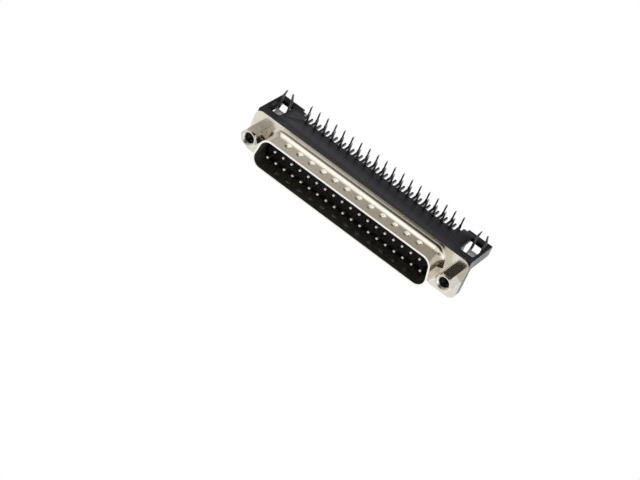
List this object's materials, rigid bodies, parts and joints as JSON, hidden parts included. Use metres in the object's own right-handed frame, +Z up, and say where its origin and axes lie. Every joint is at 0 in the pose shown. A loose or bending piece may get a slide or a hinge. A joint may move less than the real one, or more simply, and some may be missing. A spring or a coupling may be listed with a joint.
{
  "type": "d-sub connector",
  "caption": "Right-angle board connector with a D-shaped dimpled metal shell, male pins in staggered rows, hexagonal jackscrews and board locks.",
  "frame": {"origin": "board plane, in the middle of the tail pattern: halfway along the connector and halfway between the two rows of tails", "axes": "+X along the connector, -Y out of the mouth towards the mating plug, +Z up from the board"},
  "size_m": [0.0694, 0.0177, 0.0162],
  "materials": {
    "nickel_shell": "satin nickel plate",
    "black_plastic": "glass-filled moulding, slightly rough",
    "jackscrew_metal": "turned, nickel plated",
    "lock_metal": "tin-plated sheet",
    "contact_metal": "gold flash on the pins, tin on the tails"
  },
  "bodies": {
    "root": {"front_shell": "nickel_shell", "front_insulator": "black_plastic", "rear_housing": "black_plastic", "jackscrew_left": "jackscrew_metal", "jackscrew_right": "jackscrew_metal", "lock_nut_left": "jackscrew_metal", "lock_nut_right": "jackscrew_metal", "board_lock_left": "lock_metal", "board_lock_right": "lock_metal", "contact_01": "contact_metal", "contact_02": "contact_metal", "contact_03": "contact_metal", "contact_04": "contact_metal", "contact_05": "contact_metal", "contact_06": "contact_metal", "contact_07": "contact_metal", "contact_08": "contact_metal", "contact_09": "contact_metal", "contact_10": "contact_metal", "contact_11": "contact_metal", "contact_12": "contact_metal", "contact_13": "contact_metal", "contact_14": "contact_metal", "contact_15": "contact_metal", "contact_16": "contact_metal", "contact_17": "contact_metal", "contact_18": "contact_metal", "contact_19": "contact_metal", "contact_20": "contact_metal", "contact_21": "contact_metal", "contact_22": "contact_metal", "contact_23": "contact_metal", "contact_24": "contact_metal", "contact_25": "contact_metal", "contact_26": "contact_metal", "contact_27": "contact_metal", "contact_28": "contact_metal", "contact_29": "contact_metal", "contact_30": "contact_metal", "contact_31": "contact_metal", "contact_32": "contact_metal", "contact_33": "contact_metal", "contact_34": "contact_metal", "contact_35": "contact_metal", "contact_36": "contact_metal", "contact_37": "contact_metal"}
  },
  "joints": []
}
